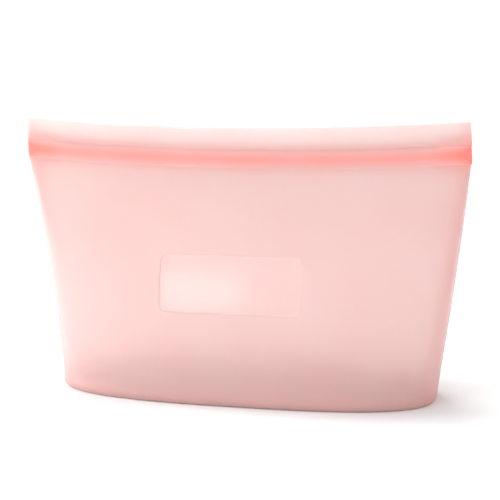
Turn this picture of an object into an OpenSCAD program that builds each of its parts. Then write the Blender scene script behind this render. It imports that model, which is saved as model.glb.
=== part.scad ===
// Reusable silicone bag: a wide, flared pouch that stands on an oval base and shuts with a moulded press zip.
// Origin: middle of the base, on the surface it stands on. +Z is up, +X runs along the mouth, -Y is the front.

/* [Overall size] */
// Width of the bag across the mouth
mouth_width = 235; // [180:1:300]
// Length of the base along the mouth
base_length = 203; // [150:1:260]
// Depth of the base from front to rear
base_depth = 68; // [50:1:110]
// Height of the front lip at the corners of the mouth
bag_height = 144; // [110:1:200]

/* [Shape] */
// How square the outline of the base is: 2 is an ellipse
outline_power = 2.8; // [2:0.1:4]
// How much squarer the outline has become at the zip
zip_squareness = 6; // [0:0.5:8]
// How far the front and rear walls belly out halfway up
belly = 5; // [0:0.5:8]
// How far the flared ends are hollowed halfway up
end_hollow = 1.4; // [0:0.1:4]
// How far the mouth dips in the middle
mouth_dip = 4.2; // [2:0.1:8]
// Share of the outline's length that the front and rear walls take, the gussets have the rest
wall_share = 0.86; // [0.7:0.01:0.9]

/* [Walls] */
// Thickness of the walls and gussets
wall_thickness = 1.3; // [1:0.1:2]
// Thickness of the floor
floor_thickness = 2.2; // [1.5:0.1:4]
// How far the floor is raised off the surface that the rim stands on
floor_lift = 0.8; // [0.4:0.1:2]
// Height of the foot rim
rim_height = 3.4; // [3:0.1:8]
// Width of the foot rim
rim_width = 3.4; // [2.5:0.1:6]
// Clearance between pieces that move against each other
joint_gap = 0.3; // [0.2:0.05:0.6]

/* [Press zip] */
// Height of each zip band
band_height = 9.5; // [8:0.5:14]
// Thickness of each zip band
band_thickness = 1.8; // [1.4:0.1:3]
// Distance between the two bands when the zip is shut
band_gap = 3.4; // [2.8:0.1:5]
// Height of the rib at its root
rib_height = 2.4; // [1.6:0.1:3]
// Height that the rib loses from root to tip
rib_taper = 0.6; // [0.2:0.1:1]
// Height of each of the two jaws that the rib is pressed between
jaw_height = 2; // [1.6:0.1:2.4]
// Clearance round the rib in its groove
zip_clearance = 0.3; // [0.2:0.05:0.5]
// Bevel on the outer edges of the bands and the fused stops
band_bevel = 0.4; // [0.2:0.1:0.6]

/* [Lips] */
// Height of the front lip above its band
lip_height = 11; // [8:0.5:16]
// How much taller the rear lip is
rear_lip_extra = 0; // [0:0.5:5]
// Thickness of each lip
lip_thickness = 1.4; // [1:0.1:1.7]
// How far each lip stands back from the outer face of its band
lip_setback = 0.2; // [0.1:0.1:0.4]

/* [Clear window] */
// Length of the clear window in the front wall
window_length = 75; // [50:1:90]
// Height of the clear window
window_height = 29; // [20:1:40]
// Height of the window's middle above the surface
window_centre_height = 62; // [55:1:75]
// Sideways place of the window's middle
window_offset = -2; // [-15:1:15]

/* [Hidden] */

frosted = [0.98, 0.80, 0.77, 0.6];
clear = [0.99, 0.86, 0.84, 0.35];
coral = [1.00, 0.62, 0.58, 0.8];

outline_points = 96;   // corners of the base outline
end_columns = 8;       // strips of wall on each side of the window
window_columns = 8;    // strips across the window
window_rows = 3;       // rows up the window
wall_rows = 5;         // rows below the window, and as many above it
gusset_columns = 12;   // strips round each gusset
gusset_rows = 12;      // rows up each gusset
arc_fragments = 1440;  // fragments in a whole turn of the zip's wide arc

zip_thickness = band_gap + 2 * band_thickness;
wall_foot = rim_height + joint_gap;            // the walls' lower edge, just clear of the rim
zip_lowest = bag_height - mouth_dip - lip_height - band_height / 2;    // middle of the zip, at x = 0
zip_radius = (pow(mouth_width / 2, 2) + pow(mouth_dip, 2)) / (2 * mouth_dip);
zip_centre = zip_lowest + zip_radius;          // height of the arc's centre above the surface
band_end = wall_share * mouth_width / 2;       // where the bands end and the fused stops begin
jaw_reach = band_gap - joint_gap;              // from the rear band nearly to the front one
rib_reach = band_gap - zip_clearance;
stop_low = -band_height / 2 - joint_gap;       // the stops sit a little lower than the bands, so that
stop_high = band_height / 2 - joint_gap;       // the bands and lips clear the gussets and the stops
groove_height = rib_height + 2 * zip_clearance;

// ---- rules for the shape ----

// Height, at x, of the arc that runs rise above the middle of the zip
function arc_z(x, rise) = zip_centre - sqrt(pow(zip_radius - rise, 2) - x * x);
// Half length, half depth and squareness of the outline at share s of the wall's height
function half_length(s) = base_length / 2 + (mouth_width - base_length) / 2 * s - end_hollow * 4 * s * (1 - s);
function half_depth(s) = zip_thickness / 2 + (base_depth - zip_thickness) / 2 * (1 - s) + belly * 4 * s * (1 - s);
function power(s) = outline_power + zip_squareness * s * s;
// Outline of half length a and half depth b: depth at x, and length at y
function outline_y(x, a, b, p) = b * pow(1 - pow(abs(x) / a, p), 1 / p);
function outline_x(y, a, b, p) = a * pow(max(0, 1 - pow(abs(y) / b, p)), 1 / p);
// Height, at x, of share s of the way from foot to the arc at rise
function height_at(x, s, foot, rise) = foot + s * (arc_z(x, rise) - foot);
// Share of the front wall's height that a height z has in the middle of the bag
function share_at(z) = (z - wall_foot) / (arc_z(0, -band_height / 2) - wall_foot);
// count + 1 values from first to last
function steps(first, last, count) = [for (i = [0 : count]) first + (last - first) * i / count];
function all_but_last(list) = [for (i = [0 : len(list) - 2]) list[i]];

// A point of the front wall, inset from its outer face
function wall_point(x, s, inset) =
    [x, -outline_y(x, half_length(s) - inset, half_depth(s) - inset, power(s)),
     height_at(x, s, wall_foot, -band_height / 2)];

// The x of each column of the front wall at share s, with columns along the window's two ends
window_left = window_offset - window_length / 2;
window_right = window_offset + window_length / 2;
function wall_columns(s) =
    let (edge = wall_share * half_length(s) - joint_gap / 2)
    concat(all_but_last(steps(-edge, window_left, end_columns)),
           all_but_last(steps(window_left, window_right, window_columns)),
           steps(window_right, edge, end_columns));

// The share of each row, with rows along the window's lower and upper edges
window_low = share_at(window_centre_height - window_height / 2);
window_high = share_at(window_centre_height + window_height / 2);
wall_shares = concat(all_but_last(steps(0, window_low, wall_rows)),
                     all_but_last(steps(window_low, window_high, window_rows)),
                     steps(window_high, 1, wall_rows));

function wall_grid(inset) =
    [for (i = [0 : 2 * end_columns + window_columns])
        [for (s = wall_shares) wall_point(wall_columns(s)[i], s, inset)]];

// A point of the right gusset: across runs from -1 at its front edge to 1 at its rear edge
function gusset_point(across, s, inset) =
    let (a = half_length(s) - inset, b = half_depth(s) - inset, p = power(s),
         front_x = wall_share * half_length(s) + joint_gap / 2,
         y = across * outline_y(front_x, a, b, p),
         x = outline_x(y, a, b, p))
    [x, y, height_at(x, s, rim_height, stop_low)];

function gusset_grid(inset) =
    [for (across = steps(-1, 1, gusset_columns))
        [for (s = steps(0, 1, gusset_rows)) gusset_point(across, s, inset)]];

function base_outline(inset) =
    let (a = base_length / 2 - inset, b = base_depth / 2 - inset, p = outline_power)
    [for (i = [0 : outline_points - 1])
        let (turn = 360 * i / outline_points, c = cos(turn), s = sin(turn))
        [a * sign(c) * pow(abs(c), 2 / p), b * sign(s) * pow(abs(s), 2 / p)]];

// ---- shapes that repeat ----

// A closed shell between two grids of points, made of the cells [column, row] that keep() lets through.
// region is [first column, last column, first row, last row] of cells; kept says whether they are the
// only cells kept or the only cells left out.
module shell(outer, inner, region = [-1, -1, -1, -1], kept = false) {
    columns = len(outer);
    rows = len(outer[0]);
    inner_start = columns * rows;
    function keep(i, j) =
        i >= 0 && j >= 0 && i < columns - 1 && j < rows - 1 &&
        (i >= region[0] && i <= region[1] && j >= region[2] && j <= region[3]) == kept;
    function index(i, j) = i * rows + j;
    function side(a, b) = [[b, a, a + inner_start], [b, a + inner_start, b + inner_start]];
    function skin(i, j) =
        let (a = index(i, j), b = index(i, j + 1), c = index(i + 1, j + 1), d = index(i + 1, j))
        concat([[a, b, c], [a, c, d]],
               [[c + inner_start, b + inner_start, a + inner_start],
                [d + inner_start, c + inner_start, a + inner_start]],
               keep(i - 1, j) ? [] : side(a, b),
               keep(i, j + 1) ? [] : side(b, c),
               keep(i + 1, j) ? [] : side(c, d),
               keep(i, j - 1) ? [] : side(d, a));
    points = [for (grid = [outer, inner]) for (column = grid) each column];
    faces = [for (i = [0 : columns - 2]) for (j = [0 : rows - 2]) if (keep(i, j)) each skin(i, j)];
    used = [for (i = [0 : columns - 1]) for (j = [0 : rows - 1])
        keep(i, j) || keep(i - 1, j) || keep(i, j - 1) || keep(i - 1, j - 1) ? 1 : 0];
    // points that no cell uses are dropped, so the others are numbered again
    running = [for (k = 0, total = 0; k < inner_start; total = total + used[k], k = k + 1) total];
    kept_count = running[inner_start - 1] + used[inner_start - 1];
    function renumber(k) = k < inner_start ? running[k] : kept_count + running[k - inner_start];
    polyhedron(points = [for (k = [0 : 2 * inner_start - 1]) if (used[k % inner_start] == 1) points[k]],
               faces = [for (face = faces) [for (k = face) renumber(k)]], convexity = 6);
}

// A rail that follows the zip's arc from one x to another; its section is a list of [rise, y]
module rail(section, from_x, to_x) {
    first = asin(from_x / zip_radius);
    last = asin(to_x / zip_radius);
    translate([0, 0, zip_centre]) rotate([0, 90, -90]) rotate([0, 0, first])
        rotate_extrude(angle = last - first, $fn = arc_fragments)
            polygon([for (p = section) [zip_radius - p[0], -p[1]]]);
}

// Section of the front zip band, from its lower to its upper edge, bevelled outside
outer_y = -zip_thickness / 2;
band_section = [
    [-band_height / 2, -band_gap / 2], [-band_height / 2, outer_y + band_bevel],
    [-band_height / 2 + band_bevel, outer_y], [band_height / 2 - band_bevel, outer_y],
    [band_height / 2, outer_y + band_bevel], [band_height / 2, -band_gap / 2]];

// Section of a front lip that rises height above its band, rounded off at the top edge
function lip_section(height) =
    let (front = outer_y + lip_setback, back = front + lip_thickness,
         foot = band_height / 2, top = foot + height, edge = lip_thickness / 4)
    [[foot, front + band_bevel], [foot + band_bevel, front], [top - edge, front], [top, front + edge],
     [top, back - edge], [top - edge, back], [foot, back]];

module jaw(low) {
    rail([[low, band_gap / 2], [low + jaw_height, band_gap / 2],
          [low + jaw_height, band_gap / 2 - jaw_reach], [low, band_gap / 2 - jaw_reach]],
         -band_end + joint_gap / 2, band_end - joint_gap / 2);
}

module zip_stop() {
    thick = zip_thickness / 2;
    inset = thick - band_bevel;
    rail([[stop_low, inset], [stop_low + band_bevel, thick], [stop_high - band_bevel, thick], [stop_high, inset],
          [stop_high, -inset], [stop_high - band_bevel, -thick], [stop_low + band_bevel, -thick], [stop_low, -inset]],
         band_end + joint_gap / 2, mouth_width / 2);
}

// ---- the pieces ----

// The floor, set in the foot rim and raised a little
module base_panel() {
    color(frosted) translate([0, 0, floor_lift]) linear_extrude(floor_thickness) polygon(base_outline(rim_width));
}

// The thick ring that the bag stands on
module foot_rim() {
    color(coral) linear_extrude(rim_height) difference() {
        polygon(base_outline(0));
        polygon(base_outline(rim_width));
    }
}

// The curved ends, which stay still while the walls open
module right_gusset() {
    color(frosted) shell(gusset_grid(0), gusset_grid(wall_thickness));
}
module left_gusset() {
    rotate([0, 0, 180]) right_gusset();
}

// The two ends of the zip, where its halves are fused together
module right_zip_stop() {
    color(coral) zip_stop();
}
module left_zip_stop() {
    rotate([0, 0, 180]) right_zip_stop();
}

window_cells = [end_columns, end_columns + window_columns - 1, wall_rows, wall_rows + window_rows - 1];

module front_wall() {
    color(frosted) shell(wall_grid(0), wall_grid(wall_thickness), window_cells, false);
}
module clear_window() {
    color(clear) shell(wall_grid(0), wall_grid(wall_thickness), window_cells, true);
}
module rear_wall() {
    color(frosted) rotate([0, 0, 180]) shell(wall_grid(0), wall_grid(wall_thickness));
}

module front_zip_band() {
    color(coral) rail(band_section, -band_end + joint_gap / 2, band_end - joint_gap / 2);
}
module rear_zip_band() {
    color(coral) rotate([0, 0, 180]) front_zip_band();
}

// The rib on the front band, and the jaws on the rear band that grip it
module zip_rib() {
    root = -band_gap / 2;
    tip = root + rib_reach;
    tip_height = rib_height - rib_taper;
    color(coral) rail([[-rib_height / 2, root], [rib_height / 2, root], [tip_height / 2, tip], [-tip_height / 2, tip]],
                      -band_end + joint_gap / 2, band_end - joint_gap / 2);
}
module upper_zip_jaw() {
    color(coral) jaw(groove_height / 2);
}
module lower_zip_jaw() {
    color(coral) jaw(-groove_height / 2 - jaw_height);
}

// The lips that are pinched apart to open the zip
module front_lip() {
    color(frosted) rail(lip_section(lip_height), -mouth_width / 2, mouth_width / 2);
}
module rear_lip() {
    color(frosted) rotate([0, 0, 180])
        rail(lip_section(lip_height + rear_lip_extra), -mouth_width / 2, mouth_width / 2);
}

base_panel();
foot_rim();
left_gusset();
right_gusset();
left_zip_stop();
right_zip_stop();
front_wall();
clear_window();
front_zip_band();
zip_rib();
front_lip();
rear_wall();
rear_zip_band();
upper_zip_jaw();
lower_zip_jaw();
rear_lip();
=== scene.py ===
# A reusable silicone bag: one flexible moulding with an oval base, two walls, folded ends and a press zip.
# Lengths are metres. Places come from the CAD frame, and sizes that it doesn't hold are named where used.
import math

import bmesh
import bpy
import numpy as np
from mathutils import Matrix, Vector


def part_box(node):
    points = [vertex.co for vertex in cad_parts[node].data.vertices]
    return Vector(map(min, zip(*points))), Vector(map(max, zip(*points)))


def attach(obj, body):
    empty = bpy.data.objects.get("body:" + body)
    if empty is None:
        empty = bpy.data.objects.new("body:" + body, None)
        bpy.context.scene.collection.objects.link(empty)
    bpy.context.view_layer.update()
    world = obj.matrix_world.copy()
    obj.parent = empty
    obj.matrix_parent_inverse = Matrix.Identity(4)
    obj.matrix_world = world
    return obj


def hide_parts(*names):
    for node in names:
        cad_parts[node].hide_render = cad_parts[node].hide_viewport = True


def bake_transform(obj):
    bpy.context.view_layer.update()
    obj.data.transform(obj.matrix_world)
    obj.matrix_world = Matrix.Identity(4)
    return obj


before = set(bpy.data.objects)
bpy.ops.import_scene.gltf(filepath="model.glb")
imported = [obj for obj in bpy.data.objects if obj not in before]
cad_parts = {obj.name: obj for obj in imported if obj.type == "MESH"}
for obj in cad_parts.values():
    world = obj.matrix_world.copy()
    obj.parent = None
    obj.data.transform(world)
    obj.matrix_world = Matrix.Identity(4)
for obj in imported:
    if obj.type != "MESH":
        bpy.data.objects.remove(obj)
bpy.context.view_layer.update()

# ---------------------------------------------------------------------------------------------------
# Studio: a sheet of white paper in a bright, white room, soft window lights from behind and from the
# left, a small one whose reflection shows in the bag's window, and the camera, as for a catalogue.
# ---------------------------------------------------------------------------------------------------
MM = 0.001


def linear(hex_colour):
    """An sRGB hex value, such as "ffb0a9", as linear red, green, blue and an alpha of 1."""
    parts = [int(hex_colour[i:i + 2], 16) / 255 for i in (0, 2, 4)]
    return [p / 12.92 if p <= 0.04045 else ((p + 0.055) / 1.055) ** 2.4 for p in parts] + [1.0]


def add(tree, kind, into=None, **settings):
    """Adds a node to a tree, sets it up, and feeds its inputs with values, sockets or other nodes."""
    made = tree.nodes.new(kind)
    for name, value in settings.items():
        setattr(made, name, value)
    for socket, value in (into or {}).items():
        if isinstance(value, bpy.types.Node):
            value = value.outputs[0]
        if isinstance(value, bpy.types.NodeSocket):
            tree.links.new(value, made.inputs[socket])
        else:
            made.inputs[socket].default_value = value
    return made


def new_material(name):
    """An empty material and its tree of nodes."""
    material = bpy.data.materials.new(name)
    material.use_nodes = True
    material.node_tree.nodes.clear()
    return material, material.node_tree


scene = bpy.context.scene
scene.view_settings.view_transform = "Standard"

FLOOR_HALF = 12.0
rim_low, rim_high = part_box("foot_rim")
# the paper glows a little outside the bag's shadow, so that it is white as far as can be seen
GLOW_STRENGTH = 0.4
GLOW_START = 1.1       # in half lengths of the base
GLOW_FULL = 3.0
floor_mesh = bpy.data.meshes.new("paper_floor")
floor_mesh.from_pydata(
    [(-FLOOR_HALF, -FLOOR_HALF, 0), (FLOOR_HALF, -FLOOR_HALF, 0),
     (FLOOR_HALF, FLOOR_HALF, 0), (-FLOOR_HALF, FLOOR_HALF, 0)], [], [(0, 1, 2, 3)])
floor = bpy.data.objects.new("paper_floor", floor_mesh)
scene.collection.objects.link(floor)
white_paper, tree = new_material("white_paper")
place = add(tree, "ShaderNodeTexCoord").outputs["Object"]
place = add(tree, "ShaderNodeVectorMath", {0: place, 1: (rim_high.x, rim_high.y, 1)}, operation="DIVIDE")
place = add(tree, "ShaderNodeVectorMath", {0: place, 1: place}, operation="MULTIPLY")
away = add(tree, "ShaderNodeVectorMath", {0: place}, operation="LENGTH")     # 1 along the edge of the base
glow = add(tree, "ShaderNodeMapRange", {"Value": away.outputs["Value"], "From Min": GLOW_START,
                                        "From Max": GLOW_FULL, "To Max": GLOW_STRENGTH})
shade = add(tree, "ShaderNodeBsdfPrincipled", {
    "Base Color": linear("f0f0f0"), "Roughness": 0.9, "Specular IOR Level": 0.1,
    "Emission Color": linear("ffffff"), "Emission Strength": glow})
add(tree, "ShaderNodeOutputMaterial", {"Surface": shade})
floor_mesh.materials.append(white_paper)

world = bpy.data.worlds.new("white_room")
scene.world = world
world.use_nodes = True
world.node_tree.nodes.clear()
sky = add(world.node_tree, "ShaderNodeBackground", {"Color": linear("ffffff"), "Strength": 0.86})
add(world.node_tree, "ShaderNodeOutputWorld", {"Surface": sky})


def soft_light(name, place, target, width, height, watts):
    """A rectangular lamp at place that faces target and isn't seen itself."""
    lamp = bpy.data.lights.new(name, "AREA")
    lamp.shape = "RECTANGLE"
    lamp.size, lamp.size_y = width, height
    lamp.energy = watts
    lit = bpy.data.objects.new(name, lamp)
    lit.location = place
    lit.rotation_euler = (Vector(target) - Vector(place)).to_track_quat("-Z", "Y").to_euler()
    lit.visible_camera = False
    scene.collection.objects.link(lit)


soft_light("rear_window_light", (-0.35, 0.55, 0.6), (0, 0, 0.06), 0.6, 0.5, 3.0)
soft_light("left_window_light", (-0.65, -0.05, 0.25), (-0.05, 0, 0.08), 0.3, 0.4, 3.5)
soft_light("glint_light", (-0.39, -1.29, 0.37), (0, 0, 0.07), 0.1, 0.14, 0.22)
soft_light("edge_light", (-0.3, -0.5, 0.95), (0, 0, 0.07), 0.3, 0.14, 0.7)

CAMERA_TURN = math.radians(14.41)     # to the right of straight ahead
CAMERA_DIP = math.radians(12.45)      # looking down
CAMERA_ROLL = math.radians(1.22)
CAMERA_DISTANCE = 708.1 * MM
CAMERA_ASIDE = 3.15 * MM              # aim, to the right of the middle of the base
CAMERA_AIM_HEIGHT = 75.48 * MM
DISTANCE_PER_FRAME_WIDTH = 2.7

ahead = Vector((-math.sin(CAMERA_TURN), math.cos(CAMERA_TURN), 0))
right = Vector((math.cos(CAMERA_TURN), math.sin(CAMERA_TURN), 0))
look = ahead * math.cos(CAMERA_DIP) - Vector((0, 0, math.sin(CAMERA_DIP)))
up = right.cross(look)
aim = right * CAMERA_ASIDE + Vector((0, 0, CAMERA_AIM_HEIGHT))
lens = bpy.data.cameras.new("camera")
lens.sensor_width = 36
lens.lens = lens.sensor_width * DISTANCE_PER_FRAME_WIDTH
lens.clip_start = 0.05
camera = bpy.data.objects.new("camera", lens)
roll = Matrix.Rotation(CAMERA_ROLL, 3, look)
turn = Matrix((roll @ right, roll @ up, -look)).transposed()
camera.matrix_world = Matrix.Translation(aim - look * CAMERA_DISTANCE) @ turn.to_4x4()
scene.collection.objects.link(camera)
scene.camera = camera

# ---------------------------------------------------------------------------------------------------
# Base panel and foot rim: the oval floor and the thick ring round it that the bag stands on, moulded
# with the rest in platinum-cured silicone rubber with a little coral pigment. The mould is sand-blasted,
# so the skin is matt and hazy. Thin skin lets light through, and thick rubber looks a deeper coral.
# ---------------------------------------------------------------------------------------------------
panel_low, panel_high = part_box("base_panel")
OUTLINE_POWER = 2.8            # how square the base is, where 2 is an ellipse
OUTLINE_CORNERS = 256
stop_low, stop_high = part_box("right_zip_stop")
band_low, band_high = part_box("front_zip_band")
MOUTH_HALF = 117.5 * MM
MOUTH_DIP = 4.2 * MM           # how far the middle of the mouth hangs below its ends
BAND_HEIGHT = 9.5 * MM
ARC_RADIUS = (MOUTH_HALF ** 2 + MOUTH_DIP ** 2) / (2 * MOUTH_DIP)
ARC_CENTRE = band_low.z + BAND_HEIGHT / 2 + ARC_RADIUS     # height of the centre of the zip's wide arc
WALL_THICKNESS = 1.3 * MM
SKIN_DEPTH = 0.15              # depth of colour of the plain skin
LIP_HIGHLIGHT_TOP = 16 * MM             # height above the zip at which a lip is palest, a painted highlight on the top of the lips
ZIP_DEPTH = 0.65
ZIP_BLUR = 5 * MM              # how far the zip's deep colour fades into the wall and the lip
FUSED_DEPTH = 0.15             # how much deeper and wider that colour is where the zip is fused
FUSED_SPREAD = 0.3
STOP_BLUR = 6 * MM
RIM_DEPTH = 0.2
RIM_BLUR = 5 * MM
FOLD_AND_SHADE_DEPTH = 0.22              # partly the fold and partly painted shade: deepest at the very ends, from nothing where the fold begins
FOLD_AND_SHADE_SHARE = 0.1               # of the half length at that height
SHARP_EDGE = math.radians(46)  # edges that turn more than this stay crisp
PALE_SKIN = "fff4f2"
DEEP_CORAL = "ff9084"
SILICONE_IOR = 1.41
THIN_DEPTH = 0.2               # up to this depth of colour the rubber is as clear as thin skin
THICK_DEPTH = 0.7              # and from this depth on it is only this share as clear
THICK_SHARE = 0.35
ROUGHNESS_SPREAD = 0.04
BLAST_GRAIN = 0.4 * MM         # the real grain is 0.1 mm, too fine to show, so it is drawn coarser
CLOUD = 35 * MM                # size of the soft patches where the skin is a little thicker


def arc_height(x, rise):
    """Height, at x, of the arc that runs rise above the middle of the zip."""
    return ARC_CENTRE - math.sqrt((ARC_RADIUS - rise) ** 2 - x * x)


def depth_of_colour(co):
    """How deep the rubber's colour is at a point, from 0 to 1, mostly for how thick it is. The zip is the
    thickest part, and most of all where it is fused at its ends. The colour also deepens over the rim and
    towards both ends, partly where they fold round and partly as painted shade. The tops of the lips are
    painted paler, a painted highlight."""
    above = co.z - arc_height(co.x, 0)
    share = min(1.0, co.z / (co.z - above))
    length = rim_high.x + (MOUTH_HALF - rim_high.x) * share
    fused = 1 / (1 + math.exp(-(abs(co.x) - band_high.x) / (STOP_BLUR / 4)))
    zip_line = math.exp(-(above / ZIP_BLUR / (1 + FUSED_SPREAD * fused)) ** 2)
    # the lips are painted paler towards their top, a painted highlight
    skin = min(1.0, max(0.0, 1 - above / LIP_HIGHLIGHT_TOP))
    rim = math.exp(-max(0.0, co.z - rim_high.z) / RIM_BLUR)
    # towards both ends the colour is deepened, partly for the fold and partly as painted shade of the ends
    fold_and_shade = min(1.0, max(0.0, (abs(co.x) / length - 1 + FOLD_AND_SHADE_SHARE) / FOLD_AND_SHADE_SHARE)) ** 2
    zip_depth = (ZIP_DEPTH + FUSED_DEPTH * fused) * zip_line
    return min(1.0, SKIN_DEPTH * skin + zip_depth + RIM_DEPTH * rim + FOLD_AND_SHADE_DEPTH * fold_and_shade)


def silicone(name, thin=PALE_SKIN, thick=DEEP_CORAL, roughness=0.45, see_through=0.7,
             grain_height=0.01 * MM, cloudiness=0.03):
    """Silicone rubber, coloured by the attribute "depth": 0 in thin skin and 1 in the thickest rubber, which
    lets the least light through. The depth also holds painted shade at the ends and a painted highlight on
    the lip tops. Left as it is, it has the blasted finish, matt and hazy."""
    material, tree = new_material(name)
    depth = add(tree, "ShaderNodeAttribute", attribute_name="depth")
    place = add(tree, "ShaderNodeTexCoord").outputs["Object"]
    clouds = add(tree, "ShaderNodeTexNoise", {"Vector": place, "Scale": 1 / CLOUD, "Detail": 1.0})
    uneven = add(tree, "ShaderNodeMapRange", {"Value": clouds, "From Min": 0.3, "From Max": 0.7,
                                              "To Min": -cloudiness, "To Max": cloudiness})
    share = add(tree, "ShaderNodeMath", {0: depth.outputs["Fac"], 1: uneven}, operation="ADD", use_clamp=True)
    colour = add(tree, "ShaderNodeValToRGB", {"Fac": share})
    colour.color_ramp.elements[0].color = linear(thin)
    colour.color_ramp.elements[1].color = linear(thick)
    grain = add(tree, "ShaderNodeTexNoise", {"Vector": place, "Scale": 1 / BLAST_GRAIN, "Detail": 1.0})
    bump = add(tree, "ShaderNodeBump", {"Height": grain, "Strength": 1.0, "Distance": grain_height})
    rough = add(tree, "ShaderNodeMapRange", {"Value": grain, "To Min": roughness - ROUGHNESS_SPREAD,
                                             "To Max": roughness + ROUGHNESS_SPREAD})
    clear = add(tree, "ShaderNodeMapRange", {"Value": share, "From Min": THIN_DEPTH, "From Max": THICK_DEPTH,
                                             "To Min": see_through, "To Max": see_through * THICK_SHARE})
    shade = add(tree, "ShaderNodeBsdfPrincipled", {
        "Base Color": colour, "Roughness": rough, "Normal": bump, "IOR": SILICONE_IOR,
        "Transmission Weight": clear})
    add(tree, "ShaderNodeOutputMaterial", {"Surface": shade})
    return material


frosted_silicone = silicone("frosted_silicone")
rim_silicone = silicone("rim_silicone", roughness=0.42)      # a little smoother, where it rubs on the table

# Where two pieces of the one moulding meet, light goes on as if there were no surface
inner_joint, tree = new_material("inner_joint")
shade = add(tree, "ShaderNodeBsdfPrincipled", {"Base Color": linear("ffffff"), "Roughness": 0.0, "IOR": 1.0,
                                               "Transmission Weight": 1.0})
add(tree, "ShaderNodeOutputMaterial", {"Surface": shade})


def outline(inset, height):
    """A ring of points round the base, inset from the outer edge of the rim."""
    a, b = rim_high.x - inset, rim_high.y - inset
    ring = []
    for i in range(OUTLINE_CORNERS):
        c = math.cos(2 * math.pi * i / OUTLINE_CORNERS)
        s = math.sin(2 * math.pi * i / OUTLINE_CORNERS)
        ring.append((a * math.copysign(abs(c) ** (2 / OUTLINE_POWER), c),
                     b * math.copysign(abs(s) ** (2 / OUTLINE_POWER), s), height))
    return ring


def loft(name, rings, closed):
    """A mesh skinned over rings of equal length. closed joins the last ring to the first, as in a hoop.
    Otherwise both ends are filled."""
    count = len(rings[0])
    points = [point for ring in rings for point in ring]
    faces = []
    for k in range(len(rings) if closed else len(rings) - 1):
        here, there = k * count, (k + 1) % len(rings) * count
        for i in range(count):
            j = (i + 1) % count
            faces.append((here + i, here + j, there + j, there + i))
    if not closed:
        faces.append(tuple(range(count)))
        faces.append(tuple(range(len(points) - count, len(points))))
    mesh = bpy.data.meshes.new(name)
    mesh.from_pydata(points, [], faces)
    work = bmesh.new()
    work.from_mesh(mesh)
    bmesh.ops.recalc_face_normals(work, faces=work.faces)
    work.to_mesh(mesh)
    work.free()
    return mesh


def finish_piece(mesh, material, node, joined=None):
    """A smooth piece from a mesh, with its finish and its depth of colour, in place of the CAD node, which is
    hidden.
    joined(middle, normal) says whether a face is one where the moulding goes on into the next piece."""
    piece = bpy.data.objects.new(mesh.name, mesh)
    scene.collection.objects.link(piece)
    if not mesh.materials:
        mesh.materials.append(material)
    if joined:
        mesh.materials.append(inner_joint)
    for face in mesh.polygons:
        face.use_smooth = True
        if joined and joined(face.center, face.normal):
            face.material_index = 1
    mesh.set_sharp_from_angle(angle=SHARP_EDGE)
    depth = mesh.attributes.new("depth", "FLOAT", "POINT")
    depth.data.foreach_set("value", [depth_of_colour(vertex.co) for vertex in mesh.vertices])
    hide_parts(node)
    return piece


# The rim's section as [inset, height], from its outer top down round the foot and up inside
FOOT_RADIUS = 2.6 * MM
FOOT_STEPS = 9
FOOT_EDGE = 0.3 * MM           # straight stretch that keeps the shading of the rounding to itself
INNER_BEVEL = 0.2 * MM
SEAT_MARGIN = 0.4 * MM         # how much wider the seat is than the wall on it
rim_width = rim_high.x - panel_high.x
rim_section = [(0, rim_high.z), (0, FOOT_RADIUS + FOOT_EDGE)]
for k in range(FOOT_STEPS + 1):
    angle = math.pi / 2 * k / FOOT_STEPS
    rim_section.append((FOOT_RADIUS * (1 - math.cos(angle)), FOOT_RADIUS * (1 - math.sin(angle))))
rim_section += [(rim_width - INNER_BEVEL, 0), (rim_width, FOOT_EDGE), (rim_width, panel_high.z),
                (WALL_THICKNESS + SEAT_MARGIN, rim_high.z), (WALL_THICKNESS, rim_high.z)]
foot_rim = loft("foot_rim_moulded", [outline(inset, z) for inset, z in rim_section], True)


def under_walls(middle, normal):
    """Whether a face of the rim is the seat that the walls and gussets stand on."""
    return normal.z > 0.99 and middle.z > rim_high.z - 0.01 * MM


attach(finish_piece(foot_rim, rim_silicone, "foot_rim", under_walls), "base")

PANEL_EDGE = 0.25 * MM
PANEL_DOME = 0.6 * MM      # how far the floor rises towards its middle
PANEL_RINGS = 8
panel_rings = [outline(rim_width + PANEL_EDGE, panel_low.z), outline(rim_width, panel_low.z + PANEL_EDGE),
               outline(rim_width, panel_high.z - PANEL_EDGE)]
for k in range(PANEL_RINGS):
    share = k / PANEL_RINGS
    rise = PANEL_DOME * share * (2 - share)
    panel_rings.append([(x * (1 - share), y * (1 - share), panel_high.z + rise)
                        for x, y, _ in outline(rim_width + PANEL_EDGE, 0)])
base_panel = loft("base_panel_moulded", panel_rings, False)
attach(finish_piece(base_panel, frosted_silicone, "base_panel"), "base")

# ---------------------------------------------------------------------------------------------------
# Gussets: the curved ends of the bag. Gussets and walls are one thin skin, 1.3 mm thick, that runs from
# the oval rim up to the flat zip. At every height its outline is a squared oval, longer, flatter and
# squarer further up. A gusset is the part of it that stays shut when the walls open.
# ---------------------------------------------------------------------------------------------------
SQUARENESS_GAINED = 6.0
RIPPLE_LENGTH = 71.4 * MM


def new_geometry_tree(name, inputs):
    """A Geometry Nodes tree with named inputs, each {name: (kind, value)}, and its sockets."""
    tree = bpy.data.node_groups.new(name, "GeometryNodeTree")
    for label, (kind, value) in inputs.items():
        socket = tree.interface.new_socket(name=label, in_out="INPUT", socket_type="NodeSocket" + kind)
        if value is not None:
            socket.default_value = value
    tree.interface.new_socket(name="Geometry", in_out="OUTPUT", socket_type="NodeSocketGeometry")
    return tree, add(tree, "NodeGroupInput").outputs


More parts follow.
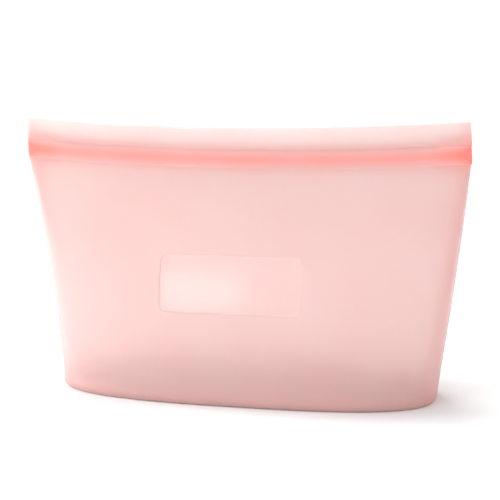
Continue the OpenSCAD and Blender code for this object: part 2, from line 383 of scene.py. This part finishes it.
def grow(name, tree, **given):
    """The plain mesh that a Geometry Nodes tree makes with these inputs, whose names have _ for a space."""
    holder = bpy.data.objects.new(name, bpy.data.meshes.new(name))
    scene.collection.objects.link(holder)
    nodes = holder.modifiers.new("grow", "NODES")
    nodes.node_group = tree
    for socket in tree.interface.items_tree:
        key = socket.name.replace(" ", "_")
        if socket.in_out == "INPUT" and key in given:
            nodes[socket.identifier] = given.pop(key)
    assert not given, f"{tree.name} has no input {list(given)}"
    bpy.context.view_layer.update()
    evaluated = holder.evaluated_get(bpy.context.evaluated_depsgraph_get())
    mesh = bpy.data.meshes.new_from_object(evaluated)
    bpy.data.meshes.remove(holder.data)
    mesh.name = name
    # the mesh has an empty slot before the one for the tree's material, and it is dropped
    material = mesh.materials[mesh.polygons[0].material_index]
    mesh.materials.clear()
    mesh.materials.append(material)
    mesh.polygons.foreach_set("material_index", [0] * len(mesh.polygons))
    return mesh


skin_tree, given = new_geometry_tree("silicone_skin", {
    "Columns": ("Int", 120), "Rows": ("Int", 84), "Is End": ("Bool", False), "Half Turn": ("Float", 0.0),
    "Foot Half Length": ("Float", rim_high.x), "Mouth Half Length": ("Float", MOUTH_HALF),
    "End Hollow": ("Float", 1.4 * MM), "Foot Half Depth": ("Float", rim_high.y),
    "Zip Half Depth": ("Float", stop_high.y), "Belly": ("Float", 5 * MM),
    "Foot Squareness": ("Float", OUTLINE_POWER), "Squareness Gained": ("Float", SQUARENESS_GAINED),
    "Wall Share": ("Float", 0.86), "Foot Height": ("Float", rim_high.z),
    "Top Radius": ("Float", ARC_RADIUS + BAND_HEIGHT / 2), "Arc Centre": ("Float", ARC_CENTRE),
    "Ripple": ("Float", 0.9 * MM), "Lean": ("Float", 2.0 * MM), "Material": ("Material", None)})
tree = skin_tree
columns = add(tree, "ShaderNodeMath", {0: given["Columns"], 1: 1.0}, operation="ADD")
rows = add(tree, "ShaderNodeMath", {0: given["Rows"], 1: 1.0}, operation="ADD")
grid = add(tree, "GeometryNodeMeshGrid", {"Size X": 2.0, "Size Y": 1.0, "Vertices X": columns,
                                          "Vertices Y": rows})
spot = add(tree, "ShaderNodeSeparateXYZ", {0: add(tree, "GeometryNodeInputPosition")})
across = spot.outputs["X"]                                                             # from -1 to 1
height = add(tree, "ShaderNodeMath", {0: spot.outputs["Y"], 1: 0.5}, operation="ADD")  # from 0 to 1
below_top = add(tree, "ShaderNodeMath", {0: 1.0, 1: height}, operation="SUBTRACT")
halfway = add(tree, "ShaderNodeMath", {0: height, 1: below_top}, operation="MULTIPLY")
halfway = add(tree, "ShaderNodeMath", {0: halfway, 1: 4.0}, operation="MULTIPLY")      # 1 at half the height
length = add(tree, "ShaderNodeMapRange", {"Value": height, "To Min": given["Foot Half Length"],
                                          "To Max": given["Mouth Half Length"]})
hollow = add(tree, "ShaderNodeMath", {0: halfway, 1: given["End Hollow"]}, operation="MULTIPLY")
length = add(tree, "ShaderNodeMath", {0: length, 1: hollow}, operation="SUBTRACT")
depth = add(tree, "ShaderNodeMapRange", {"Value": height, "To Min": given["Foot Half Depth"],
                                         "To Max": given["Zip Half Depth"]})
depth = add(tree, "ShaderNodeMath", {0: halfway, 1: given["Belly"], 2: depth}, operation="MULTIPLY_ADD")
squareness = add(tree, "ShaderNodeMath", {0: height, 1: height}, operation="MULTIPLY")
squareness = add(tree, "ShaderNodeMath", {0: squareness, 1: given["Squareness Gained"],
                                          2: given["Foot Squareness"]}, operation="MULTIPLY_ADD")
inverse = add(tree, "ShaderNodeMath", {0: 1.0, 1: squareness}, operation="DIVIDE")
# a wall is the middle share of the outline, counted along it, and an end is the rest, counted across it
limit = add(tree, "ShaderNodeMath", {0: given["Wall Share"], 1: squareness}, operation="POWER")
limit = add(tree, "ShaderNodeMath", {0: 1.0, 1: limit}, operation="SUBTRACT")
limit = add(tree, "ShaderNodeMath", {0: limit, 1: inverse}, operation="POWER")
limit = add(tree, "GeometryNodeSwitch", {"Switch": given["Is End"], "False": given["Wall Share"],
                                         "True": limit}, input_type="FLOAT")
along = add(tree, "ShaderNodeMath", {0: across, 1: limit}, operation="MULTIPLY")
out = add(tree, "ShaderNodeMath", {0: along}, operation="ABSOLUTE")
out = add(tree, "ShaderNodeMath", {0: out, 1: squareness}, operation="POWER")
out = add(tree, "ShaderNodeMath", {0: 1.0, 1: out}, operation="SUBTRACT")
out = add(tree, "ShaderNodeMath", {0: out, 1: inverse}, operation="POWER")
forward = add(tree, "ShaderNodeMath", {0: out, 1: -1.0}, operation="MULTIPLY")
x_share = add(tree, "GeometryNodeSwitch", {"Switch": given["Is End"], "False": along, "True": out},
              input_type="FLOAT")
y_share = add(tree, "GeometryNodeSwitch", {"Switch": given["Is End"], "False": forward, "True": along},
              input_type="FLOAT")
x = add(tree, "ShaderNodeMath", {0: x_share, 1: length}, operation="MULTIPLY")
y = add(tree, "ShaderNodeMath", {0: y_share, 1: depth}, operation="MULTIPLY")
radius = given["Top Radius"]
radius_squared = add(tree, "ShaderNodeMath", {0: radius, 1: radius}, operation="MULTIPLY")
x_squared = add(tree, "ShaderNodeMath", {0: x, 1: x}, operation="MULTIPLY")
top = add(tree, "ShaderNodeMath", {0: radius_squared, 1: x_squared}, operation="SUBTRACT")
top = add(tree, "ShaderNodeMath", {0: top}, operation="SQRT")
top = add(tree, "ShaderNodeMath", {0: given["Arc Centre"], 1: top}, operation="SUBTRACT")
z = add(tree, "ShaderNodeMapRange", {"Value": height, "To Min": given["Foot Height"], "To Max": top})
# soft ripples, as thin rubber has, which die away at every edge of the piece
across_squared = add(tree, "ShaderNodeMath", {0: across, 1: across}, operation="MULTIPLY")
calm = add(tree, "ShaderNodeMath", {0: 1.0, 1: across_squared}, operation="SUBTRACT")
calm = add(tree, "ShaderNodeMath", {0: calm, 1: halfway}, operation="MULTIPLY")
wander = add(tree, "ShaderNodeCombineXYZ", {0: x, 1: given["Half Turn"], 2: z})
ripple = add(tree, "ShaderNodeTexNoise", {"Vector": wander, "Scale": 1 / RIPPLE_LENGTH, "Detail": 1.0,
                                          "Roughness": 0.3})
ripple = add(tree, "ShaderNodeMapRange", {"Value": ripple, "From Min": 0.3, "From Max": 0.7, "To Min": -1.0,
                                          "To Max": 1.0})
ripple = add(tree, "ShaderNodeMath", {0: ripple, 1: calm}, operation="MULTIPLY")
y = add(tree, "ShaderNodeMath", {0: ripple, 1: given["Ripple"], 2: y}, operation="MULTIPLY_ADD")
marked = add(tree, "GeometryNodeStoreNamedAttribute", {
    "Geometry": grid.outputs["Mesh"], "Name": "halfway", "Value": halfway}, data_type="FLOAT", domain="POINT")
shaped = add(tree, "GeometryNodeSetPosition", {
    "Geometry": marked, "Position": add(tree, "ShaderNodeCombineXYZ", {0: x, 1: y, 2: z})})
turned = add(tree, "GeometryNodeTransform", {
    "Geometry": shaped, "Rotation": add(tree, "ShaderNodeCombineXYZ", {2: given["Half Turn"]})})
# the whole bag leans a little to one side at half its height
halfway = add(tree, "GeometryNodeInputNamedAttribute", {"Name": "halfway"}, data_type="FLOAT")
lean = add(tree, "ShaderNodeMath", {0: halfway, 1: given["Lean"]}, operation="MULTIPLY")
leaning = add(tree, "GeometryNodeSetPosition", {
    "Geometry": turned, "Offset": add(tree, "ShaderNodeCombineXYZ", {0: lean})})
whole = add(tree, "GeometryNodeRealizeInstances", {"Geometry": leaning})
whole = add(tree, "GeometryNodeSetMaterial", {"Geometry": whole, "Material": given["Material"]})
add(tree, "NodeGroupOutput", {"Geometry": whole})


def thicken(mesh, thickness):
    """Gives an open skin its thickness, inwards. Its edges are where the moulding goes on into the next
    piece."""
    mesh.materials.append(inner_joint)
    holder = bpy.data.objects.new("thicken", mesh)
    scene.collection.objects.link(holder)
    solid = holder.modifiers.new("thicken", "SOLIDIFY")
    solid.thickness = thickness
    solid.offset = -1
    solid.use_even_offset = True
    solid.material_offset_rim = 1
    bpy.context.view_layer.update()
    evaluated = holder.evaluated_get(bpy.context.evaluated_depsgraph_get())
    thick = bpy.data.meshes.new_from_object(evaluated)
    name = mesh.name
    bpy.data.meshes.remove(mesh)
    thick.name = name
    return thick


for side, half_turn in (("right", 0.0), ("left", math.pi)):
    skin = grow(f"{side}_gusset_skin", skin_tree, Is_End=True, Half_Turn=half_turn, Columns=48, Ripple=0.0,
                Material=frosted_silicone)
    gusset = finish_piece(thicken(skin, WALL_THICKNESS), frosted_silicone,
                          f"{side}_gusset")
    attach(gusset, "base")

# ---------------------------------------------------------------------------------------------------
# Front wall, rear wall and clear window. The window is a panel of the front wall that was moulded
# against a polished part of the tool, so it is glossy and can be seen through, to show what is inside.
# ---------------------------------------------------------------------------------------------------
polished_silicone = silicone("polished_silicone", thin="fff6f5", thick="ffd8d2", roughness=0.14,
                             see_through=0.92, grain_height=0.001 * MM, cloudiness=0.0)
WINDOW_CORNER = 4 * MM
WINDOW_CORNER_STEPS = 5
WINDOW_RECESS = 0.35 * MM
WINDOW_BEVEL = 0.8 * MM        # width of the slope from the frosted wall down to the polished pane
WINDOW_THICKNESS = 0.9 * MM
window_low, window_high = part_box("clear_window")


def open_with(piece):
    """On the bag, the middle of a piece swings out with its flap and its ends stay shut with the base, so
    that the mouth opens to the shape of a lens. Here the mesh is folded on its middle, the piece's placing is
    baked into it, and its own points are then put back."""
    mesh = piece.data
    places = np.zeros(len(mesh.vertices) * 3, np.float32)
    mesh.vertices.foreach_get("co", places)
    folded = places.reshape(-1, 3).copy()
    folded[:, 0] = abs(folded[:, 0])
    mesh.vertices.foreach_set("co", folded.ravel())
    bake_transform(piece)
    mesh.vertices.foreach_set("co", places)
    mesh.update()


rear_skin = grow("rear_wall_skin", skin_tree, Half_Turn=math.pi, Material=frosted_silicone)
rear_wall = finish_piece(thicken(rear_skin, WALL_THICKNESS), frosted_silicone,
                         "rear_wall")
open_with(rear_wall)


def window_sides(inset):
    """The sides of the window's outline, with round corners, each from one point [x, z] to the next."""
    low, high = window_low + Vector((inset, 0, inset)), window_high - Vector((inset, 0, inset))
    corners = ((high.x, high.z), (low.x, high.z), (low.x, low.z), (high.x, low.z))
    radius = WINDOW_CORNER - inset
    points = []
    for quarter, (x, z) in enumerate(corners):
        inward = Vector((-1 if x > low.x else 1, -1 if z > low.z else 1))
        for k in range(WINDOW_CORNER_STEPS + 1):
            angle = math.pi / 2 * (quarter + k / WINDOW_CORNER_STEPS)
            outward = Vector((math.cos(angle), math.sin(angle)))
            points.append(Vector((x, z)) + inward * radius + radius * outward)
    return list(zip(points, points[1:] + points[:1]))


def how_far_inside(place, sides):
    """How far a place [x, z] lies inside an outline, or below zero when it lies outside."""
    return min((second - first).normalized().cross(place - first) for first, second in sides)


front_skin = grow("front_wall_skin", skin_tree, Material=frosted_silicone)
work = bmesh.new()
work.from_mesh(front_skin)
NEAR = 4 * MM          # only faces as near as this to a side of the window are cut by it
SLIVER = 0.05 * MM     # cuts that come closer than this are merged
edge_sides = window_sides(0.0)
for first, second in edge_sides + window_sides(WINDOW_BEVEL):
    side = second - first
    near = set()
    for face in work.faces:
        middle = face.calc_center_median().xz
        share = min(1, max(0, (middle - first).dot(side) / side.length_squared))
        if (middle - first - side * share).length < NEAR:
            near.update([face, *face.edges, *face.verts])
    bmesh.ops.bisect_plane(work, geom=list(near), dist=1e-7, plane_co=(first.x, 0, first.y),
                           plane_no=(side.y, 0, -side.x))
bmesh.ops.remove_doubles(work, verts=work.verts, dist=SLIVER)
bmesh.ops.dissolve_degenerate(work, edges=work.edges, dist=SLIVER)
pane = work.copy()
for part, wanted in ((work, False), (pane, True)):
    dropped = [face for face in part.faces
               if (how_far_inside(face.calc_center_median().xz, edge_sides) > 0) != wanted]
    bmesh.ops.delete(part, geom=dropped, context="FACES")
pane.normal_update()
for vertex in pane.verts:
    share = how_far_inside(vertex.co.xz, edge_sides) / WINDOW_BEVEL
    vertex.co -= vertex.normal * WINDOW_RECESS * min(1.0, max(0.0, share))
window_skin = bpy.data.meshes.new("clear_window_pane")
work.to_mesh(front_skin)
pane.to_mesh(window_skin)
window_skin.materials.append(polished_silicone)
work.free()
pane.free()
front_wall = finish_piece(thicken(front_skin, WALL_THICKNESS), frosted_silicone,
                          "front_wall")
open_with(front_wall)
clear_window = finish_piece(thicken(window_skin, WINDOW_THICKNESS), polished_silicone,
                            "clear_window")
open_with(clear_window)

# ---------------------------------------------------------------------------------------------------
# Press zip: two thick bands, a rib on the front one that is pressed between two jaws on the rear one,
# and a block at each end where the halves are fused. All are moulded on the walls in the same rubber.
# ---------------------------------------------------------------------------------------------------
zip_silicone = silicone("zip_silicone")      # the same blasted finish on much thicker rubber
JOINED_RADIUS = 0.03 * MM      # where a rail is flush with the next piece its edges stay crisp
OUTLINE_ROOM = 0.4 * MM        # so that the stops still have some thickness at their very ends

rail_tree, given = new_geometry_tree("zip_rail", {
    "Steps": ("Int", 160), "From X": ("Float", 0.0), "To X": ("Float", 0.0),
    "Rise": ("Float", 0.0), "Y": ("Float", 0.0), "Height": ("Float", 0.0), "Thickness": ("Float", 0.0),
    "Edge Radius": ("Float", JOINED_RADIUS), "Foot Radius": ("Float", JOINED_RADIUS),
    "Tip Radius": ("Float", 0.0), "Half Turn": ("Float", 0.0),
    "Arc Radius": ("Float", ARC_RADIUS), "Arc Centre": ("Float", ARC_CENTRE),
    "Outline Half Length": ("Float", MOUTH_HALF + OUTLINE_ROOM),
    "Outline Squareness": ("Float", OUTLINE_POWER + SQUARENESS_GAINED), "Material": ("Material", None)})
tree = rail_tree
line = add(tree, "GeometryNodeCurvePrimitiveLine", {"End": (1, 0, 0)})
line = add(tree, "GeometryNodeResampleCurve", {"Curve": line, "Count": given["Steps"]})
spot = add(tree, "ShaderNodeSeparateXYZ", {0: add(tree, "GeometryNodeInputPosition")})
# the points crowd together towards both ends, where the tips are rounded
turn = add(tree, "ShaderNodeMapRange", {"Value": spot.outputs["X"], "To Min": -math.pi / 2,
                                        "To Max": math.pi / 2})
turn = add(tree, "ShaderNodeMath", {0: turn}, operation="SINE")
x = add(tree, "ShaderNodeMapRange", {"Value": turn, "From Min": -1.0, "From Max": 1.0,
                                     "To Min": given["From X"], "To Max": given["To X"]})
radius = add(tree, "ShaderNodeMath", {0: given["Arc Radius"], 1: given["Rise"]}, operation="SUBTRACT")
radius = add(tree, "ShaderNodeMath", {0: radius, 1: radius}, operation="MULTIPLY")
x_squared = add(tree, "ShaderNodeMath", {0: x, 1: x}, operation="MULTIPLY")
z = add(tree, "ShaderNodeMath", {0: radius, 1: x_squared}, operation="SUBTRACT")
z = add(tree, "ShaderNodeMath", {0: z}, operation="SQRT")
z = add(tree, "ShaderNodeMath", {0: given["Arc Centre"], 1: z}, operation="SUBTRACT")
arc = add(tree, "GeometryNodeSetPosition", {
    "Geometry": line, "Position": add(tree, "ShaderNodeCombineXYZ", {0: x, 1: given["Y"], 2: z})})
arc = add(tree, "GeometryNodeSetCurveNormal", {"Curve": arc}, mode="Z_UP")
section = add(tree, "GeometryNodeCurvePrimitiveQuadrilateral", {"Width": given["Thickness"],
                                                                "Height": given["Height"]})
spot = add(tree, "ShaderNodeSeparateXYZ", {0: add(tree, "GeometryNodeInputPosition")})
upper = add(tree, "FunctionNodeCompare", {0: spot.outputs["Y"], 1: 0.0}, data_type="FLOAT",
            operation="GREATER_THAN")
corner = add(tree, "GeometryNodeSwitch", {"Switch": upper, "False": given["Foot Radius"],
                                          "True": given["Edge Radius"]}, input_type="FLOAT")
section = add(tree, "GeometryNodeFilletCurve", {"Curve": section, "Count": 3, "Radius": corner,
                                                "Limit Radius": True}, mode="POLY")
section = add(tree, "GeometryNodeSubdivideCurve", {"Curve": section, "Cuts": 6})
section = add(tree, "GeometryNodeStoreNamedAttribute", {
    "Geometry": section, "Name": "up_section", "Value": spot.outputs["Y"]}, data_type="FLOAT", domain="POINT")
rail = add(tree, "GeometryNodeCurveToMesh", {"Curve": arc, "Profile Curve": section, "Fill Caps": True})
spot = add(tree, "ShaderNodeSeparateXYZ", {0: add(tree, "GeometryNodeInputPosition")})
# the rail keeps inside the squared oval of the mouth
out = add(tree, "ShaderNodeMath", {0: spot.outputs["X"], 1: given["Outline Half Length"]}, operation="DIVIDE")
out = add(tree, "ShaderNodeMath", {0: out}, operation="ABSOLUTE")
out = add(tree, "ShaderNodeMath", {0: out, 1: 1.0}, operation="MINIMUM")
out = add(tree, "ShaderNodeMath", {0: out, 1: given["Outline Squareness"]}, operation="POWER")
out = add(tree, "ShaderNodeMath", {0: 1.0, 1: out}, operation="SUBTRACT")
inverse = add(tree, "ShaderNodeMath", {0: 1.0, 1: given["Outline Squareness"]}, operation="DIVIDE")
out = add(tree, "ShaderNodeMath", {0: out, 1: inverse}, operation="POWER")
y = add(tree, "ShaderNodeMath", {0: spot.outputs["Y"], 1: out}, operation="MULTIPLY")
# the upper corner of each end is rounded with the tip radius
to_start = add(tree, "ShaderNodeMath", {0: spot.outputs["X"], 1: given["From X"]}, operation="SUBTRACT")
to_end = add(tree, "ShaderNodeMath", {0: given["To X"], 1: spot.outputs["X"]}, operation="SUBTRACT")
to_tip = add(tree, "ShaderNodeMath", {0: to_start, 1: to_end}, operation="MINIMUM")
near_tip = add(tree, "ShaderNodeMapRange", {"Value": to_tip, "From Max": given["Tip Radius"], "To Min": 1.0,
                                            "To Max": 0.0})
near_tip = add(tree, "ShaderNodeMath", {0: near_tip, 1: near_tip}, operation="MULTIPLY")
near_tip = add(tree, "ShaderNodeMath", {0: 1.0, 1: near_tip}, operation="SUBTRACT")
near_tip = add(tree, "ShaderNodeMath", {0: near_tip}, operation="SQRT")
drop = add(tree, "ShaderNodeMath", {0: 1.0, 1: near_tip}, operation="SUBTRACT")
drop = add(tree, "ShaderNodeMath", {0: drop, 1: given["Tip Radius"]}, operation="MULTIPLY")
half_height = add(tree, "ShaderNodeMath", {0: given["Height"], 1: 0.5}, operation="MULTIPLY")
up_section = add(tree, "GeometryNodeInputNamedAttribute", {"Name": "up_section"}, data_type="FLOAT")
up_share = add(tree, "ShaderNodeMapRange", {"Value": up_section, "From Min": 0.0, "From Max": half_height})
drop = add(tree, "ShaderNodeMath", {0: drop, 1: up_share}, operation="MULTIPLY")
z = add(tree, "ShaderNodeMath", {0: spot.outputs["Z"], 1: drop}, operation="SUBTRACT")
rail = add(tree, "GeometryNodeSetPosition", {
    "Geometry": rail, "Position": add(tree, "ShaderNodeCombineXYZ", {0: spot.outputs["X"], 1: y, 2: z})})
rail = add(tree, "GeometryNodeTransform", {
    "Geometry": rail, "Rotation": add(tree, "ShaderNodeCombineXYZ", {2: given["Half Turn"]})})
rail = add(tree, "GeometryNodeRealizeInstances", {"Geometry": rail})
rail = add(tree, "GeometryNodeSetMaterial", {"Geometry": rail, "Material": given["Material"]})
add(tree, "NodeGroupOutput", {"Geometry": rail})


half_zip = stop_high.y
BAND_THICKNESS = band_high.y - band_low.y
STOP_DROP = 0.3 * MM           # how far a stop reaches down over the top of its gusset
STOP_REACH = 0.2 * MM          # how far it stands out past the skin


def zip_runs_on(middle, normal):
    """Whether a face of a band or a stop meets a lip, a wall, a gusset or the other."""
    if abs(normal.z) > 0.95:
        return abs(middle.y) > half_zip - WALL_THICKNESS
    return abs(normal.x) > 0.95 and abs(middle.x) < MOUTH_HALF - MM


for side, half_turn in (("front", 0.0), ("rear", math.pi)):
    rail = grow(f"{side}_zip_band_moulded", rail_tree, From_X=-band_high.x, To_X=band_high.x,
                Half_Turn=half_turn, Y=-half_zip + BAND_THICKNESS / 2, Height=BAND_HEIGHT,
                Thickness=BAND_THICKNESS, Edge_Radius=JOINED_RADIUS, Material=zip_silicone)
    band = finish_piece(rail, zip_silicone, f"{side}_zip_band", zip_runs_on)
    open_with(band)

for side, half_turn in (("right", 0.0), ("left", math.pi)):
    rail = grow(f"{side}_zip_stop_moulded", rail_tree, From_X=band_high.x, To_X=MOUTH_HALF + STOP_REACH,
                Steps=48, Half_Turn=half_turn, Rise=-STOP_DROP / 2, Height=BAND_HEIGHT + STOP_DROP,
                Thickness=2 * half_zip, Edge_Radius=JOINED_RADIUS, Material=zip_silicone)
    stop = finish_piece(rail, zip_silicone, f"{side}_zip_stop", zip_runs_on)
    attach(stop, "base")

rib_low, rib_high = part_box("zip_rib")
jaw_low, jaw_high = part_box("upper_zip_jaw")
RIB_HEIGHT = 2.4 * MM
RIB_RADIUS = 0.8 * MM
JAW_HEIGHT = 2.0 * MM
JAW_RADIUS = 0.6 * MM
JAW_RISE = 2.5 * MM        # from the middle of the zip to the middle of a jaw
rib = grow("zip_rib_moulded", rail_tree, From_X=rib_low.x, To_X=rib_high.x, Y=(rib_low.y + rib_high.y) / 2,
           Height=RIB_HEIGHT, Thickness=rib_high.y - rib_low.y, Edge_Radius=RIB_RADIUS,
           Foot_Radius=RIB_RADIUS, Material=zip_silicone)
open_with(finish_piece(rib, zip_silicone, "zip_rib"))
for name, rise in (("upper", JAW_RISE), ("lower", -JAW_RISE)):
    jaw = grow(f"{name}_zip_jaw_moulded", rail_tree, From_X=jaw_low.x, To_X=jaw_high.x, Rise=rise,
               Y=(jaw_low.y + jaw_high.y) / 2, Height=JAW_HEIGHT, Thickness=jaw_high.y - jaw_low.y,
               Edge_Radius=JAW_RADIUS, Foot_Radius=JAW_RADIUS, Material=zip_silicone)
    open_with(finish_piece(jaw, zip_silicone, f"{name}_zip_jaw"))

# ---------------------------------------------------------------------------------------------------
# Lips: the two thin flaps above the zip, equally tall, that are pinched apart to open it. They are about
# as thin as the walls, rounded at the top and at the corners, and flush with the outside of the zip.
# ---------------------------------------------------------------------------------------------------
LIP_TIP = 1.0 * MM             # radius of a lip's upper corners
LIP_THICKNESS = 1.4 * MM
LIP_RADIUS = 0.4 * MM          # along its upper edge


def lip_root(middle, normal):
    """Whether a face is the bottom of a lip, where it stands on the zip."""
    return normal.z < -0.95


for side, half_turn in (("front", 0.0), ("rear", math.pi)):
    lip_low, lip_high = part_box(f"{side}_lip")
    lip_height = lip_high.z - arc_height(lip_high.x, BAND_HEIGHT / 2)
    rail = grow(f"{side}_lip_moulded", rail_tree, From_X=-lip_high.x, To_X=lip_high.x, Half_Turn=half_turn,
                Rise=(BAND_HEIGHT + lip_height) / 2, Y=-half_zip + LIP_THICKNESS / 2, Height=lip_height,
                Thickness=LIP_THICKNESS, Edge_Radius=LIP_RADIUS, Tip_Radius=LIP_TIP,
                Material=frosted_silicone)
    lip = finish_piece(rail, frosted_silicone, f"{side}_lip", lip_root)
    open_with(lip)
